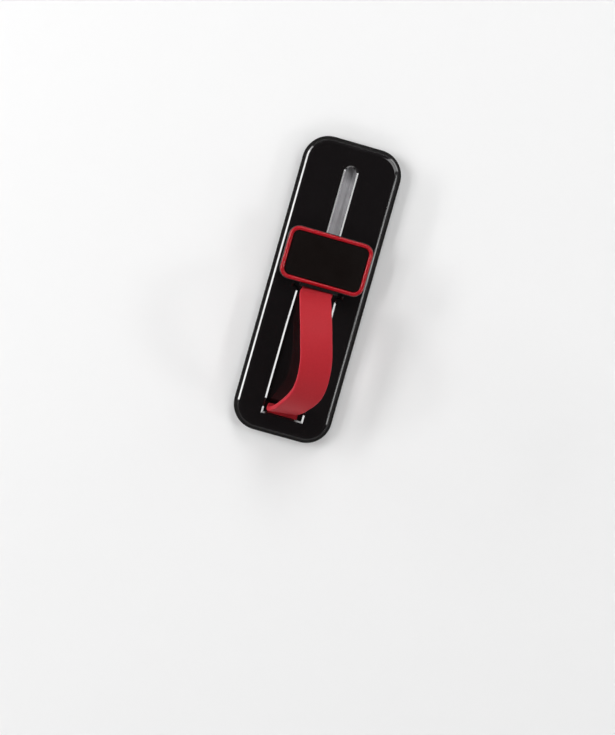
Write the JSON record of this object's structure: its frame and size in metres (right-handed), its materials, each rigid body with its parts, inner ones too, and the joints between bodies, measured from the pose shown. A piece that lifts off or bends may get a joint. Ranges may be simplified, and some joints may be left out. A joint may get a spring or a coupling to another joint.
{
  "type": "phone ring holder",
  "caption": "Slide-up finger loop for the back of a phone: a black stick-on base with a slotted track, a red-rimmed thumb slider and a red band that stands up as a loop.",
  "frame": {"origin": "middle of the adhesive pad's underside, which is the middle of the part's bottom face", "axes": "+Y along the slot, the way the slider goes to flatten the band; +X across the base; +Z away from the phone"},
  "size_m": [0.0292, 0.088, 0.0273],
  "materials": {
    "black_gloss": "gloss",
    "black_matt": "matt",
    "red_gloss": "gloss",
    "red_silicone": "satin",
    "grey_strip": "satin",
    "white_acetal": "satin",
    "steel": "brushed",
    "adhesive": "matt"
  },
  "bodies": {
    "base": {"adhesive_pad": "adhesive", "base_plate": "black_matt", "track_strip": "grey_strip", "housing": "black_gloss", "finger_band": "red_silicone", "anchor_bar": "steel", "anchor_screw_1": "steel", "anchor_screw_2": "steel", "cover_screw_1": "steel", "cover_screw_2": "steel", "cover_screw_3": "steel", "cover_screw_4": "steel"},
    "slider": {"slider_foot": "black_matt", "friction_spring": "steel", "glide_plate": "white_acetal", "slider_carrier": "black_matt", "slider_rim": "red_gloss", "slider_inlay": "black_matt", "slider_screw_1": "steel", "slider_screw_2": "steel"}
  },
  "joints": [
    {"name": "slider_slide", "type": "slide", "parent": "base", "child": "slider", "axis": [0, 1, 0], "range_m": [0, 0.027], "deforming": ["finger_band"]}
  ]
}
